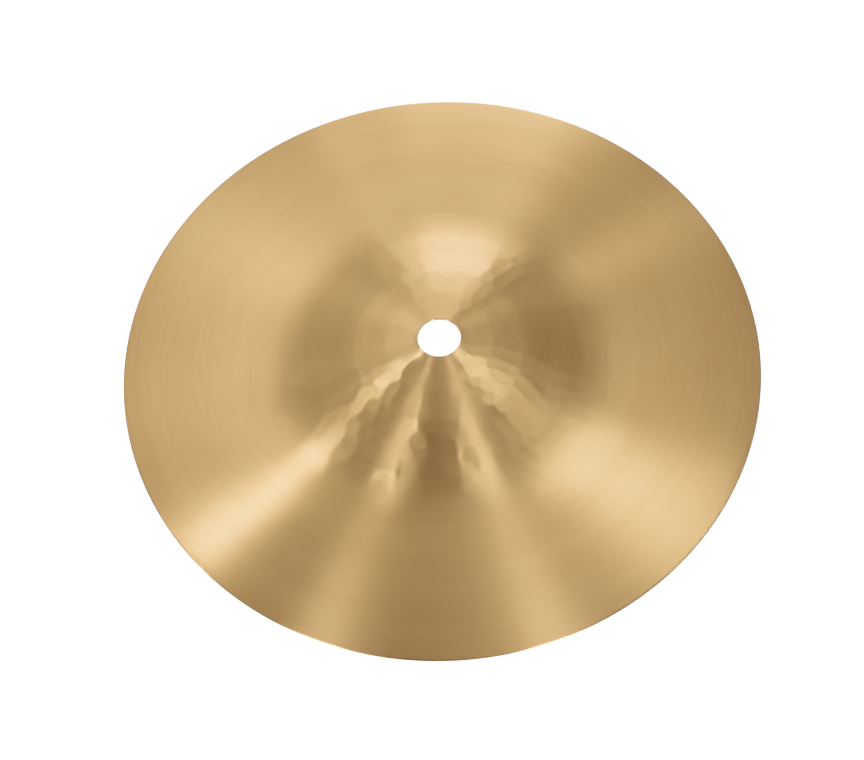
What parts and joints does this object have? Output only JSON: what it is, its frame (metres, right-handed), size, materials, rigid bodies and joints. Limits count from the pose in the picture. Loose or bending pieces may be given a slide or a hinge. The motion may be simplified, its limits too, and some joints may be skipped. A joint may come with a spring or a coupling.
{
  "type": "crash cymbal",
  "caption": "Small thin crash (splash) cymbal: round bronze disc with a domed bell, a gently curved bow, a tapered turned rim and a plain central mounting hole for a stand rod.",
  "frame": {"origin": "on the axis of the mounting hole, in the plane that the rim rests on", "axes": "+Z along the axis of the mounting hole, from the rim plane towards the bell's crown; X and Y in the rim plane, with no preferred direction because the shape is round"},
  "size_m": [0.2032, 0.2032, 0.0215],
  "materials": {
    "bronze": "lathed cymbal bronze, fine concentric tool lines, satin to bright, clear lacquered"
  },
  "bodies": {
    "root": {"cymbal": "bronze"}
  },
  "joints": []
}
